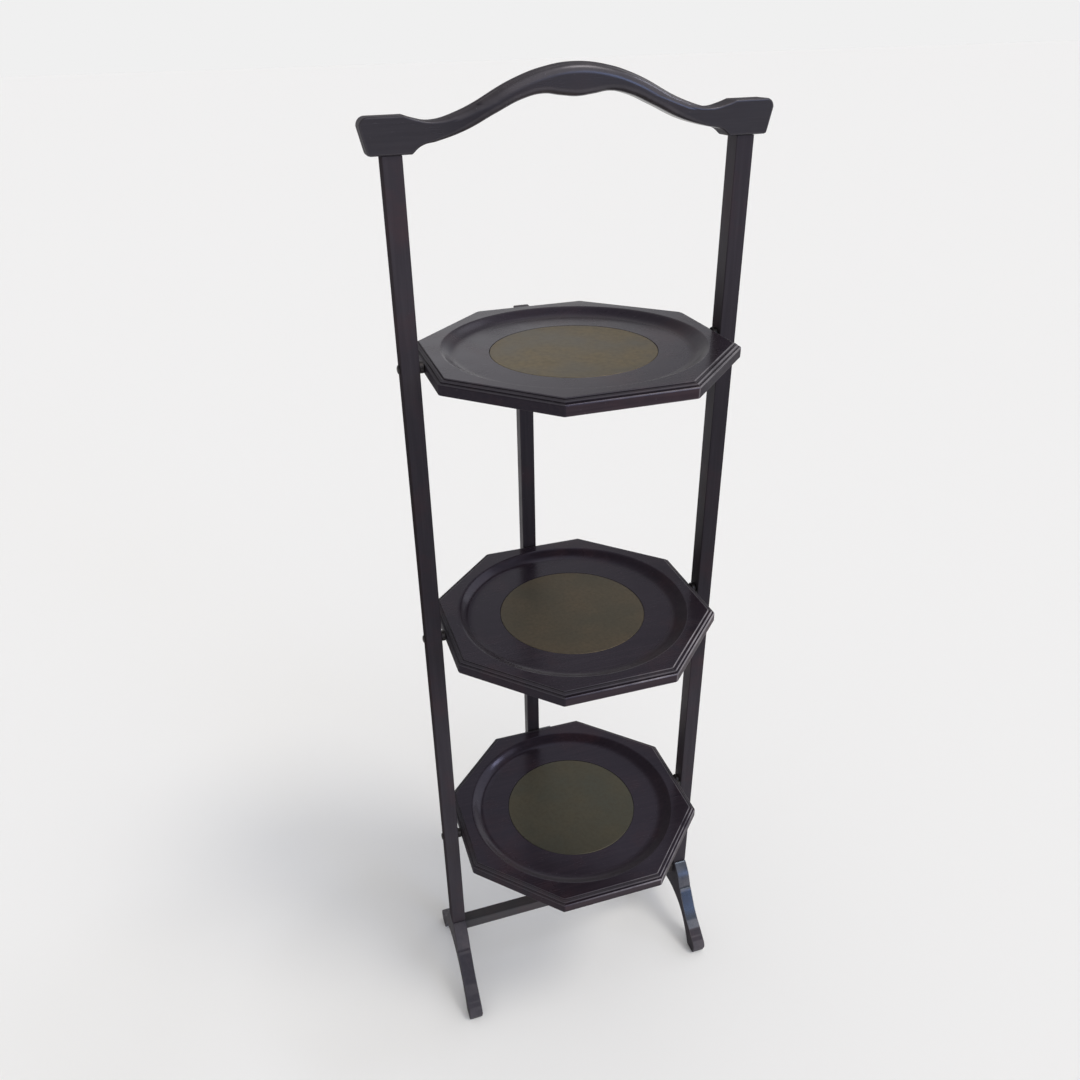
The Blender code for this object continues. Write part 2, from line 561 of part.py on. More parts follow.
def build():
    wipe_scene()
    wood = make_material("ebonised_wood", (0.030, 0.024, 0.026), 0.32)
    brass = make_material("tarnished_brass", (0.155, 0.135, 0.088), 0.45, 0.8)
    steel = make_material("blackened_steel", (0.05, 0.048, 0.046), 0.5, 1.0)
    stand = make_empty("stand", (0, PIVOT_PLANE, 0))
    for side, word in ((-1, "left"), (1, "right")):
        make_upright(word + "_upright", side, wood, stand)
        make_foot(word + "_foot", side, wood, stand)
    make_handle(wood, stand)
    make_stretcher(wood, stand)
    for tier, height in zip(TIERS, AXIS_HEIGHTS):
        pivot = make_empty(tier + "_pivot", (0, 0, height), stand)
        make_plate(tier, wood, brass, pivot)
        make_pivot_pins(tier, height, steel, stand)
        make_hinge_block(tier, wood, steel, pivot)
    middle = len(TIERS) // 2
    bar_hinge = make_empty("bar_hinge", (0, HINGE_REACH, AXIS_HEIGHTS[middle] + HINGE_DROP), stand)
    make_rear_bar(wood, bar_hinge)


build()
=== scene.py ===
from math import cos, pi, radians, sin

import bmesh
import bpy
from mathutils import Matrix, Vector


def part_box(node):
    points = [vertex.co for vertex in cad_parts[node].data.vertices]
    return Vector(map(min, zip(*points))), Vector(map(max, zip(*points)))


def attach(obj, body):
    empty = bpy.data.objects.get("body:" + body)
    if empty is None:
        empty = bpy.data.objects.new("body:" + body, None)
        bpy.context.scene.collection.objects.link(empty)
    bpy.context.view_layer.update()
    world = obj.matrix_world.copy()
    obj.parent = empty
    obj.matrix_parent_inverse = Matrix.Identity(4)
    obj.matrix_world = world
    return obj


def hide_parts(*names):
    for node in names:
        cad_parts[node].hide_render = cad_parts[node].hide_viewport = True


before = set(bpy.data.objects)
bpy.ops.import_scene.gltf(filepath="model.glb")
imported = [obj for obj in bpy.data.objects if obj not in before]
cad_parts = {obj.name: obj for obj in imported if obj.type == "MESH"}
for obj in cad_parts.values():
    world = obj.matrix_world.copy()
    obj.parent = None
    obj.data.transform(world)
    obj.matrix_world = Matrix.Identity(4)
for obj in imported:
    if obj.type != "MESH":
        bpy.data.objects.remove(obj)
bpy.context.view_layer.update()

mm = 0.001
tiers = ("lower", "middle", "top")
sideSigns = {"left": -1, "right": 1}  # where each side lies along x
print("frame loaded:", len(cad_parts), "nodes")


# small helpers

meshLimits = dict(
    sharp=50, smooth=32, straight=0.2,  # degrees: a sharp edge, one shaded smooth, a bend to dissolve
    level=0.01, weld=0.02,  # mm: points at one height, points that are one
    wornBend=15, wornWidth=2.2)  # degrees and mm: how far an arris bends at least, how wide it is at most


def clearSelection():
    if bpy.context.object and bpy.context.object.mode != "OBJECT":
        bpy.ops.object.mode_set(mode="OBJECT")
    bpy.ops.object.select_all(action="DESELECT")


def activate(piece):
    clearSelection()
    piece.select_set(True)
    bpy.context.view_layer.objects.active = piece


def settle(piece, name=None):  # name it and put its place into its mesh
    if name:
        piece.name = piece.data.name = name
    activate(piece)
    bpy.ops.object.transform_apply(location=True, rotation=True, scale=True)
    return piece


def pick(piece, kind, test):  # edit mode, with only what passes the test selected
    activate(piece)
    bpy.ops.object.mode_set(mode="EDIT")
    bpy.ops.mesh.select_mode(type=kind)
    bpy.ops.mesh.select_all(action="DESELECT")
    mesh = bmesh.from_edit_mesh(piece.data)
    for item in (mesh.edges if kind == "EDGE" else mesh.faces):
        if test(item):
            item.select_set(True)
    mesh.select_flush_mode()
    bmesh.update_edit_mesh(piece.data)


def softenEdges(piece, test, offset, segments=3):
    pick(piece, "EDGE", test)
    bpy.ops.mesh.bevel(offset=offset, segments=segments, profile=0.5, affect="EDGES")
    bpy.ops.object.mode_set(mode="OBJECT")


def isSharp(edge):
    return len(edge.link_faces) == 2 and edge.calc_face_angle(0) > radians(meshLimits["sharp"])


def startBlock(name, low, high):
    clearSelection()
    middle = [(a + b) / 2 for a, b in zip(low, high)]
    size = [b - a for a, b in zip(low, high)]
    bpy.ops.mesh.primitive_cube_add(size=1, location=middle, scale=size)
    return settle(bpy.context.object, name)


def turnPiece(name, profile, sides=40):  # a disc pulled up ring by ring through (radius, height) pairs
    clearSelection()
    radius, height = profile[0]
    bpy.ops.mesh.primitive_circle_add(vertices=sides, radius=radius, fill_type="NGON",
                                      location=(0, 0, height))
    piece = settle(bpy.context.object, name)
    bpy.ops.object.mode_set(mode="EDIT")
    bpy.ops.mesh.select_mode(type="FACE")
    bpy.ops.mesh.select_all(action="SELECT")
    for nextRadius, nextHeight in profile[1:]:
        bpy.ops.mesh.extrude_region_move(TRANSFORM_OT_translate={"value": (0, 0, nextHeight - height)})
        grow = nextRadius / radius
        bpy.ops.transform.resize(value=(grow, grow, 1), center_override=(0, 0, nextHeight))
        radius, height = nextRadius, nextHeight
    bpy.ops.mesh.select_all(action="SELECT")
    bpy.ops.mesh.normals_make_consistent(inside=False)
    bpy.ops.object.mode_set(mode="OBJECT")
    return piece


def drill(piece, inner):  # opens a turned piece right through, between its two flat ends
    pick(piece, "FACE", lambda face: len(face.verts) > 4)
    endRadius = min(Vector((v.co.x, v.co.y)).length for v in piece.data.vertices)
    bpy.ops.mesh.inset(thickness=endRadius - inner)
    bpy.ops.mesh.delete(type="ONLY_FACE")
    bpy.ops.mesh.select_mode(type="EDGE")
    bpy.ops.mesh.select_all(action="DESELECT")
    bpy.ops.mesh.select_non_manifold()
    bpy.ops.mesh.bridge_edge_loops()
    bpy.ops.mesh.select_all(action="SELECT")
    bpy.ops.mesh.normals_make_consistent(inside=False)
    bpy.ops.object.mode_set(mode="OBJECT")


def lay(piece, turn, place):  # turns and places a piece that was made at the origin
    piece.rotation_euler = turn
    piece.location = place
    return settle(piece)


def centreOf(node):
    low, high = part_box(node)
    return (low + high) / 2


def bothHalves(half):  # an outline in mm that is drawn for one half, closed by its mirror image
    other = [(-x, y, corner) for x, y, corner in reversed(half) if x > 0]
    return [(x * mm, y * mm, corner) for x, y, corner in [*half, *other]]


def drawBoard(name, knots, thickness, fineness=10):
    # a closed outline of (x, y, corner) knots, filled and thickened
    clearSelection()
    bpy.ops.curve.primitive_bezier_circle_add(radius=0.01)
    line = bpy.context.object.data
    line.dimensions = "2D"
    line.fill_mode = "FRONT"
    line.resolution_u = fineness
    points = line.splines[0].bezier_points
    points.add(len(knots) - len(points))
    for point, (x, y, corner) in zip(points, knots):
        point.handle_left_type = point.handle_right_type = "VECTOR" if corner else "AUTO"
        point.co = (x, y, 0)
    bpy.ops.object.convert(target="MESH")
    board = bpy.context.object
    board.name = board.data.name = name
    bpy.ops.object.mode_set(mode="EDIT")
    bpy.ops.mesh.select_all(action="SELECT")
    bpy.ops.mesh.remove_doubles(threshold=meshLimits["weld"] * mm)
    bpy.ops.mesh.dissolve_limited(angle_limit=radians(meshLimits["straight"]))
    bpy.ops.mesh.select_all(action="SELECT")
    bpy.ops.mesh.extrude_region_move(TRANSFORM_OT_translate={"value": (0, 0, thickness)})
    bpy.ops.mesh.select_all(action="SELECT")
    bpy.ops.transform.translate(value=(0, 0, -thickness / 2))
    bpy.ops.mesh.normals_make_consistent(inside=False)
    bpy.ops.object.mode_set(mode="OBJECT")
    return board


def roundOver(board, width, share=lambda place: 1, segments=5):
    # rounds the outline on both faces; share is the part of the width that an edge at that place takes
    mesh = board.data
    face = max(v.co.z for v in mesh.vertices)
    level = meshLimits["level"] * mm
    weights = mesh.attributes.new("bevel_weight_edge", "FLOAT", "EDGE")
    for edge in mesh.edges:
        a, b = (mesh.vertices[k].co for k in edge.vertices)
        onFace = abs(a.z - b.z) < level and face - abs(a.z) < level
        weights.data[edge.index].value = share((a + b) / 2) if onFace else 0
    activate(board)
    bevel = board.modifiers.new("roundOver", "BEVEL")
    bevel.limit_method, bevel.width, bevel.segments = "WEIGHT", width, segments
    bevel.use_clamp_overlap = False
    bpy.ops.object.modifier_apply(modifier=bevel.name)
    board.data.attributes.remove(board.data.attributes["bevel_weight_edge"])


def cutAway(piece, *cutters):
    for cutter in cutters:
        activate(piece)
        cut = piece.modifiers.new("cut", "BOOLEAN")
        cut.object = cutter
        cut.solver = "EXACT"
        bpy.ops.object.modifier_apply(modifier=cut.name)
        bpy.data.objects.remove(cutter)


def holeAlongX(radius, start, end, y, z):
    clearSelection()
    bpy.ops.mesh.primitive_cylinder_add(vertices=32, radius=radius, depth=abs(end - start),
                                        location=((start + end) / 2, y, z), rotation=(0, pi / 2, 0))
    return settle(bpy.context.object, "holeCutter")


def smoothFinish(piece):
    activate(piece)
    bpy.ops.object.shade_smooth_by_angle(angle=radians(meshLimits["smooth"]))
    even = piece.modifiers.new("evenNormals", "WEIGHTED_NORMAL")
    even.keep_sharp = True
    bpy.ops.object.modifier_apply(modifier=even.name)


def markWear(piece, amount):
    # how far the points of narrow, rounded arrises are rubbed, from 0 to 1; 0 on flats and in hollows; on the
    # plates it also paints highlights
    mesh = bmesh.new()
    mesh.from_mesh(piece.data)
    leastBend, mostWidth = radians(meshLimits["wornBend"]), meshLimits["wornWidth"] * mm
    worn = []
    for point in mesh.verts:
        widths = [f.calc_area() / max(e.calc_length() for e in f.edges) for f in point.link_faces]
        bends = [e.calc_face_angle_signed(0) for e in point.link_edges if len(e.link_faces) == 2]
        standsOut = sum(bends) > leastBend and (not widths or max(widths) < mostWidth)
        worn.append(amount(point.co) if standsOut else 0.0)
    mesh.free()
    layer = piece.data.attributes.new("wear", "FLOAT", "POINT")
    layer.data.foreach_set("value", worn)


def markDull(piece, amount):  # how far the polish is gone at each point, from 0 to 1
    layer = piece.data.attributes.new("dullness", "FLOAT", "POINT")
    layer.data.foreach_set("value", [amount(point.co) for point in piece.data.vertices])


# materials

def linear(hexColour):  # sRGB hex to the linear values that Blender takes
    parts = [int(hexColour[k:k + 2], 16) / 255 for k in (1, 3, 5)]
    return (*[p / 12.92 if p <= 0.04045 else ((p + 0.055) / 1.055) ** 2.4 for p in parts], 1.0)


def addNode(tree, kind, settings=None, **links):
    # a setting is named by its property, its socket or its socket's number; the link i6 goes to socket 6
    node = tree.nodes.new("ShaderNode" + kind)
    for name, value in (settings or {}).items():
        if isinstance(name, int) or name in node.inputs and not hasattr(type(node), name):
            node.inputs[name].default_value = value
        else:
            setattr(node, name, value)
    for name, source in links.items():
        tree.links.new(source, node.inputs[int(name[1:]) if name[1:].isdigit() else name])
    return node


def startMaterial(name):
    material = bpy.data.materials.new(name)
    material.use_nodes = True
    shader = material.node_tree.nodes["Principled BSDF"]
    return material, material.node_tree, shader


woodLook = dict(
    stain="#211b21",  # near-black stain in the closed wood
    openGrain="#272026",  # a little lighter where the open grain took less stain
    rubbed="#362224", rubbedAmount=0.5,  # reddish wood under a rubbed stain
    arris="#958f92", arrisAmount=0.85,  # bare, polished arrises, on the plates also painted highlights
    fleck="#77737a", fleckAmount=0.4,  # dust and nicks in the polish
    gloss="#dedcff",  # painted light: every reflection is tinted a little blue, as by the sky
    grainWidth=2.6, grainLength=70,  # mm
    poreWidth=0.5, poreLength=9,  # mm, drawn coarser than real pores so that they show
    patch=55, fleckSize=1.3, polishPatch=28,  # mm
    poreDepth=0.2, waveDepth=0.6,  # mm
    roughness=0.22, smoother=0.04, rougher=0.06, poreRoughness=0.06, dullRoughness=0.22,
    ior=1.41, shine=0.5,
    shadeHeight=None, shadeReach=(70, 230), shadeTone=(0.68, 1.1))  # mm and tones: painted shade, darker around that height


def ebonisedWood(name, grainAxis, **changes):
    # ebonised hardwood under a thin hand-rubbed polish: a soft sheen, reddish where the stain is rubbed
    material, tree, shader = startMaterial(name)
    look = {**woodLook, **changes}
    place = addNode(tree, "TexCoord").outputs["Object"]

    def grainScale(width, length):
        return [1 / (length * mm) if axis == grainAxis else 1 / (width * mm) for axis in "XYZ"]

    grainPlace = addNode(tree, "Mapping", {"Scale": grainScale(look["grainWidth"], look["grainLength"])},
                         Vector=place).outputs["Vector"]
    grain = addNode(tree, "TexNoise", {"Scale": 1.0, "Detail": 4.0, "Roughness": 0.6, "Distortion": 0.4},
                    Vector=grainPlace).outputs["Fac"]
    porePlace = addNode(tree, "Mapping", {"Scale": grainScale(look["poreWidth"], look["poreLength"])},
                        Vector=place).outputs["Vector"]
    pores = addNode(tree, "TexNoise", {"Scale": 1.0, "Detail": 2.0}, Vector=porePlace).outputs["Fac"]
    patches = addNode(tree, "TexNoise", {"Scale": 1 / (look["patch"] * mm), "Detail": 5.0, "Roughness": 0.65},
                      Vector=place).outputs["Fac"]
    flecks = addNode(tree, "TexNoise", {"Scale": 1 / (look["fleckSize"] * mm), "Detail": 1.0},
                     Vector=place).outputs["Fac"]
    polish = addNode(tree, "TexNoise", {"Scale": 1 / (look["polishPatch"] * mm), "Detail": 3.0},
                     Vector=place).outputs["Fac"]
    wear = addNode(tree, "Attribute", {"attribute_name": "wear"}).outputs["Fac"]
    dullness = addNode(tree, "Attribute", {"attribute_name": "dullness"}).outputs["Fac"]

    # colour: stain, open grain, rubbed patches, worn arrises and flecks, one over the other; on the plates
    # the pale arrises are partly painted highlights
    grainAmount = addNode(tree, "MapRange", {"From Min": 0.42, "From Max": 0.66}, Value=grain).outputs[0]
    colour = addNode(tree, "Mix", {"data_type": "RGBA", 6: linear(look["stain"]),
                                   7: linear(look["openGrain"])}, i0=grainAmount).outputs[2]
    patchAmount = addNode(tree, "MapRange", {"From Min": 0.5, "From Max": 0.75,
                                             "To Max": look["rubbedAmount"]}, Value=patches).outputs[0]
    colour = addNode(tree, "Mix", {"data_type": "RGBA", 7: linear(look["rubbed"])},
                     i0=patchAmount, i6=colour).outputs[2]
    wearSpots = addNode(tree, "MapRange", {"From Min": 0.3, "From Max": 0.62,
                                           "To Max": look["arrisAmount"]}, Value=patches).outputs[0]
    wearAmount = addNode(tree, "Math", {"operation": "MULTIPLY"}, i0=wear, i1=wearSpots).outputs[0]
    colour = addNode(tree, "Mix", {"data_type": "RGBA", 7: linear(look["arris"])},
                     i0=wearAmount, i6=colour).outputs[2]
    fleckAmount = addNode(tree, "MapRange", {"From Min": 0.76, "From Max": 0.80,
                                             "To Max": look["fleckAmount"]}, Value=flecks).outputs[0]
    colour = addNode(tree, "Mix", {"data_type": "RGBA", 7: linear(look["fleck"])},
                     i0=fleckAmount, i6=colour).outputs[2]
    # painted shade: darker around one height, full tone further up and down
    if look["shadeHeight"]:
        height = addNode(tree, "SeparateXYZ", i0=place).outputs["Z"]
        away = addNode(tree, "Math", {"operation": "SUBTRACT", 1: look["shadeHeight"] * mm}, i0=height).outputs[0]
        away = addNode(tree, "Math", {"operation": "ABSOLUTE"}, i0=away).outputs[0]
        (near, far), (shaded, free) = look["shadeReach"], look["shadeTone"]
        tone = addNode(tree, "MapRange", {"From Min": near * mm, "From Max": far * mm, "To Min": shaded,
                                          "To Max": free, "interpolation_type": "SMOOTHSTEP"},
                       Value=away).outputs[0]
        colour = addNode(tree, "VectorMath", {"operation": "SCALE"}, i0=colour, Scale=tone).outputs[0]
    tree.links.new(colour, shader.inputs["Base Color"])

    # sheen: uneven polish, rougher in the pores and where the polish is gone
    least, most = look["roughness"] - look["smoother"], look["roughness"] + look["rougher"]
    uneven = addNode(tree, "MapRange", {"From Min": 0.3, "From Max": 0.7, "To Min": least, "To Max": most},
                     Value=polish).outputs[0]
    poreDull = addNode(tree, "MapRange", {"From Min": 0.55, "From Max": 0.8, "To Max": look["poreRoughness"]},
                       Value=pores).outputs[0]
    roughness = addNode(tree, "Math", {"operation": "ADD"}, i0=uneven, i1=poreDull).outputs[0]
    roughness = addNode(tree, "Math", {"operation": "MULTIPLY_ADD", 1: look["dullRoughness"]},
                        i0=dullness, i2=roughness).outputs[0]
    tree.links.new(roughness, shader.inputs["Roughness"])
    shine = addNode(tree, "MapRange", {"To Min": look["shine"], "To Max": 0.0}, Value=dullness).outputs[0]
    tree.links.new(shine, shader.inputs["Specular IOR Level"])
    poreBump = addNode(tree, "Bump", {"Strength": 0.03, "Distance": look["poreDepth"] * mm, "invert": True},
                       Height=pores).outputs[0]
    waveBump = addNode(tree, "Bump", {"Strength": 0.10, "Distance": look["waveDepth"] * mm},
                       Height=polish, Normal=poreBump).outputs[0]
    tree.links.new(waveBump, shader.inputs["Normal"])
    shader.inputs["IOR"].default_value = look["ior"]
    # painted light: the sky's blue tint put into the reflections
    shader.inputs["Specular Tint"].default_value = linear(look["gloss"])
    return material


inlayLook = dict(
    patina="#5a5549", bare="#675d4e", dark="#504a40",  # olive tarnish, browner rubbed brass, old stains
    mottle=3.0, stain=46, scratchWidth=0.9, scratchLength=16.7, scratchDepth=0.12,  # mm
    scratchTurn=0.4, roughness=0.40, smoother=0.05, rougher=0.08, metallic=0.9)


def tarnishedBrass(name, **changes):
    # sheet brass left to tarnish: no mirror left, an even dull sheen, olive on one side, browner on another
    material, tree, shader = startMaterial(name)
    look = {**inlayLook, **changes}
    place = addNode(tree, "TexCoord").outputs["Object"]
    mottle = addNode(tree, "TexNoise", {"Scale": 1 / (look["mottle"] * mm), "Detail": 4.0, "Roughness": 0.6},
                     Vector=place).outputs["Fac"]
    stains = addNode(tree, "TexNoise", {"Scale": 1 / (look["stain"] * mm), "Detail": 3.0, "Roughness": 0.5},
                     Vector=place).outputs["Fac"]
    along, across = 1 / (look["scratchLength"] * mm), 1 / (look["scratchWidth"] * mm)
    scratchPlace = addNode(tree, "Mapping", {"Scale": (along, across, along),
                                             "Rotation": (0, 0, look["scratchTurn"])},
                           Vector=place).outputs["Vector"]
    scratches = addNode(tree, "TexNoise", {"Scale": 1.0, "Detail": 3.0}, Vector=scratchPlace).outputs["Fac"]
    stainAmount = addNode(tree, "MapRange", {"From Min": 0.36, "From Max": 0.62}, Value=stains).outputs[0]
    colour = addNode(tree, "Mix", {"data_type": "RGBA", 6: linear(look["patina"]), 7: linear(look["bare"])},
                     i0=stainAmount).outputs[2]
    mottleAmount = addNode(tree, "MapRange", {"From Min": 0.4, "From Max": 0.75, "To Max": 0.6},
                           Value=mottle).outputs[0]
    colour = addNode(tree, "Mix", {"data_type": "RGBA", 7: linear(look["dark"])},
                     i0=mottleAmount, i6=colour).outputs[2]
    tree.links.new(colour, shader.inputs["Base Color"])
    least, most = look["roughness"] - look["smoother"], look["roughness"] + look["rougher"]
    roughness = addNode(tree, "MapRange", {"From Min": 0.3, "From Max": 0.7, "To Min": least, "To Max": most},
                        Value=stains).outputs[0]
    tree.links.new(roughness, shader.inputs["Roughness"])
    bump = addNode(tree, "Bump", {"Strength": 0.12, "Distance": look["scratchDepth"] * mm}, Height=scratches)
    tree.links.new(bump.outputs[0], shader.inputs["Normal"])
    shader.inputs["Metallic"].default_value = look["metallic"]
    return material


steelLook = dict(oxide="#1d1b1c", rubbed="#4d4a4b", spot=1.8, smoothest=0.36, roughest=0.58)  # spots in mm


def blackenedSteel(name):
    # heat-blackened steel: dark oxide, brighter where heads and rims have been rubbed
    material, tree, shader = startMaterial(name)
    look = steelLook
    place = addNode(tree, "TexCoord").outputs["Object"]
    spots = addNode(tree, "TexNoise", {"Scale": 1 / (look["spot"] * mm), "Detail": 4.0},
                    Vector=place).outputs["Fac"]
    wear = addNode(tree, "Attribute", {"attribute_name": "wear"}).outputs["Fac"]
    wearAmount = addNode(tree, "Math", {"operation": "MULTIPLY"}, i0=wear, i1=spots).outputs[0]
    colour = addNode(tree, "Mix", {"data_type": "RGBA", 6: linear(look["oxide"]), 7: linear(look["rubbed"])},
                     i0=wearAmount).outputs[2]
    tree.links.new(colour, shader.inputs["Base Color"])
    roughness = addNode(tree, "MapRange", {"To Min": look["smoothest"], "To Max": look["roughest"]},
                        Value=spots).outputs[0]
    tree.links.new(roughness, shader.inputs["Roughness"])
    shader.inputs["Metallic"].default_value = 1.0
    return material


def woodStains(stain, openGrain, rubbed):
    return dict(stain=stain, openGrain=openGrain, rubbed=rubbed)


# finishes of one wood: polished where hands keep it so, dry or dusty elsewhere; some copies are painted
# lighter or darker for light and shade
dryLook = dict(roughness=0.5, shine=0.1, arrisAmount=0.15)
postLook = dict(roughness=0.42, shine=0.15, arrisAmount=0.12)
postStains = woodStains("#343034", "#393539", "#483335")
# painted shade: a darker copy of the posts' stains, for the right upright and the rear bar
shadedStains = woodStains("#302c30", "#353135", "#442f32")
# dust flecks on the posts, and painted shade around 530 mm up
postDustAndShade = dict(fleckAmount=0.25, shadeHeight=530)
plateWood = ebonisedWood("ebonisedWoodPlate", "X")
plateSideWood = ebonisedWood("ebonisedWoodPlateSide", "X", **dryLook,
                             **woodStains("#28242a", "#2d282d", "#3a272a"))
# painted highlight: a lighter copy for the moulding's level steps on the shaded sides
plateLitLedgeWood = ebonisedWood("ebonisedWoodPlateLitLedge", "X", **woodStains("#39363b", "#3e3b3f", "#483538"),
                              roughness=0.5, shine=0.15, arrisAmount=0.3)
# painted shade: a darker copy for the groove and the moulding away from the lamps
plateShadedGrooveWood = ebonisedWood("ebonisedWoodPlateShadedGroove", "X", **dryLook,
                               **woodStains("#1d191d", "#221d22", "#301f21"))
# painted light: a lighter copy for the plates' lit front sides
plateLitFrontWood = ebonisedWood("ebonisedWoodPlateLitFront", "X", **woodStains("#2f272b", "#382f33", "#4a3336"),
                              roughness=0.45, shine=0.15, fleckAmount=0.7)
uprightWood = {"left": ebonisedWood("ebonisedWoodLeftUpright", "Z", **postLook, **postStains, **postDustAndShade),
               "right": ebonisedWood("ebonisedWoodRightUpright", "Z", **postLook, **shadedStains, **postDustAndShade)}
uprightSideWood = ebonisedWood("ebonisedWoodUprightSide", "Z", **{**postLook, "shine": 0.0},
                               **postStains, **postDustAndShade)
barWood = ebonisedWood("ebonisedWoodBar", "Z", **postLook, **shadedStains)
railWood = ebonisedWood("ebonisedWoodRail", "X", **postLook, **woodStains("#454344", "#4a4748", "#504242"))
handleWood = ebonisedWood("ebonisedWoodHandle", "X", **woodStains("#1e1b1f", "#232024", "#2d2427"),
                          ior=1.49, gloss="#e8e5f5", arrisAmount=0.1)
handleEndWood = ebonisedWood("ebonisedWoodHandleEnd", "X", **woodStains("#363338", "#3b383d", "#463336"),
                             roughness=0.5, shine=0.05, arrisAmount=0.1)
footWood = ebonisedWood("ebonisedWoodFoot", "Y", **woodStains("#1f1c20", "#262327", "#32282b"),
                        ior=1.6, gloss="#cce2ff", roughness=0.25, arrisAmount=0.35)
# a dull, lighter copy for the toes, and as painted light for the whole left foot
footToeWood = ebonisedWood("ebonisedWoodFootToe", "Y", **woodStains("#3b393e", "#413e43", "#483b3e"),
                           roughness=0.5, shine=0.12, arrisAmount=0.15)
footSideWood = ebonisedWood("ebonisedWoodFootSide", "Y", **woodStains("#2b282d", "#302c31", "#3c2d30"),
                            roughness=0.5, shine=0.1, arrisAmount=0.1)
# painted light and shade: the top disc lighter, the lower two darker, over each disc's own tarnish colour
inlayBrass = {"lower": tarnishedBrass("tarnishedSheetBrassLower", patina="#53534a", bare="#5b574a"),
              "middle": tarnishedBrass("tarnishedSheetBrassMiddle", roughness=0.5),
              "top": tarnishedBrass("tarnishedSheetBrassTop", patina="#615a4a", bare="#776a4f",
                                    dark="#554b3b", mottle=4.5)}
fittingSteel = blackenedSteel("blackenedSteel")
print("materials made")


def handOver(piece, material, body, node, others=(), wear=lambda place: 1.0):
    # others are (material, test) pairs for the faces that are less polished or more rubbed, or painted
    # lighter or darker as light and shade
    smoothFinish(piece)
    markWear(piece, wear)
    piece.data.materials.clear()
    piece.data.materials.append(material)
    for index, (other, test) in enumerate(others, 1):
        piece.data.materials.append(other)
        for face in piece.data.polygons:
            if test(face):
                face.material_index = index
    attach(piece, body)
    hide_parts(node)


# plates and inlays

plateShape = dict(
    moulding=5.2, setback=2.2, rimStep=1.2, beadStep=1.6,  # mm
    rimRound=0.9, beadRound=1.2, sideRound=1.2, cornerRound=1.2, roundSteps=4, topFacing=0.9,
    dishRadius=103.5, dishDepth=6.0, dishSides=160,
    wallWidth=16, wallSweep=0.95, wallLean=1.6, wallSteps=20,  # the sweep and lean shape the wall's curve
    recessGap=0.4, recessDrop=0.2, inlayRound=0.5, inlaySteps=3, inlaySides=128,
    pinRadius=2.3, pinDepth=11.4, screwRadius=1.9, screwDepth=6.4, screwSetback=8.0, cutterReach=5)

plateWear = dict(  # ways are seen from above, from the plate's middle
    # painted highlight and wear on the moulding's arrises, strongest towards the lamps
    highlightAndWearWay=(0.93, -0.37), highlightAndWearFrom=-0.05, highlightAndWearSpan=0.75, highlightAndWearLeast=0.05,
    highlightAndWearShare=dict(lower=1.0, middle=1.0, top=0.5),
    frontWay=(0.55, -0.83), frontReach=0.6, rightWay=(0.707, -0.707), rightStart=0.925,
    lampWay=(0.92, -0.38), lampReach=0.8, ledgeFacing=0.45, sideFacing=0.1,
    dishMargin=1, rimMargin=0.05, grooveMargin=0.02,  # mm
    dullWay=(0.8, -0.6), dullLeast=0.28, dullWall=dict(lower=0.54, middle=0.6, top=0.28), dullFades=(3, 20))


def plateLevels(tier):  # the plate's box, the top of its side and the floor of its dish
    low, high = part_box(tier + "_plate")
    shoulder = high.z - (plateShape["rimStep"] + plateShape["beadStep"]) * mm
    return low, high, shoulder, high.z - plateShape["dishDepth"] * mm


def mouldPlate(tier):  # an octagonal board with a bead and a rim stepped up from its side
    shape = plateShape
    low, high, shoulder, _ = plateLevels(tier)
    middle = (low + high) / 2
    clearSelection()
    bpy.ops.mesh.primitive_cylinder_add(
        vertices=8, radius=(high.x - low.x) / 2 / cos(pi / 8), depth=shoulder - low.z,
        location=(middle.x, middle.y, (shoulder + low.z) / 2), rotation=(0, 0, pi / 8))
    plate = settle(bpy.context.object, tier + "Plate")
    pick(plate, "FACE", lambda face: face.normal.z > shape["topFacing"])
    bpy.ops.mesh.inset(thickness=shape["setback"] * mm)  # the bead stands in from the side
    bpy.ops.mesh.extrude_region_move(TRANSFORM_OT_translate={"value": (0, 0, shape["beadStep"] * mm)})
    bpy.ops.mesh.inset(thickness=(shape["moulding"] - shape["setback"]) * mm)  # and the rim further
    bpy.ops.mesh.extrude_region_move(TRANSFORM_OT_translate={"value": (0, 0, shape["rimStep"] * mm)})
    bpy.ops.object.mode_set(mode="OBJECT")

    def upright(edge):
        a, b = (v.co for v in edge.verts)
        return abs(a.x - b.x) + abs(a.y - b.y) < meshLimits["level"] * mm

    def outerEdgeAt(level):
        def test(edge):
            flat = all(abs(v.co.z - level) < 2 * meshLimits["level"] * mm for v in edge.verts)
            return flat and isSharp(edge) and edge.is_convex
        return test

    softenEdges(plate, upright, shape["cornerRound"] * mm)
    beadTop = shoulder + shape["beadStep"] * mm
    for level, size in ((high.z, "rimRound"), (beadTop, "beadRound"), (shoulder, "sideRound"),
                        (low.z, "sideRound")):
        softenEdges(plate, outerEdgeAt(level), shape[size] * mm, shape["roundSteps"])
    return plate


def dishProfile(tier):  # the inlay's recess, the dish's floor and its wall
    shape = plateShape
    _, high, _, floor = plateLevels(tier)
    inlayLow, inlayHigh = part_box(tier + "_inlay")
    recess = (inlayHigh.x - inlayLow.x) / 2 + shape["recessGap"] * mm
    dish, wall, sweep = shape["dishRadius"] * mm, shape["wallWidth"] * mm, shape["wallSweep"]
    profile = [(recess, inlayLow.z - shape["recessDrop"] * mm), (recess, floor)]
    for k in range(shape["wallSteps"] + 1):  # the wall is a hollow that runs over into a rounded lip
        part = k / shape["wallSteps"]
        t = sweep * part ** shape["wallLean"]
        rise = (3 * t * t - 2 * t ** 3) / (3 * sweep * sweep - 2 * sweep ** 3)
        profile.append((dish - wall * (1 - part), floor + (high.z - floor) * rise))
    return [*profile, (profile[-1][0], high.z + shape["cutterReach"] * mm)]


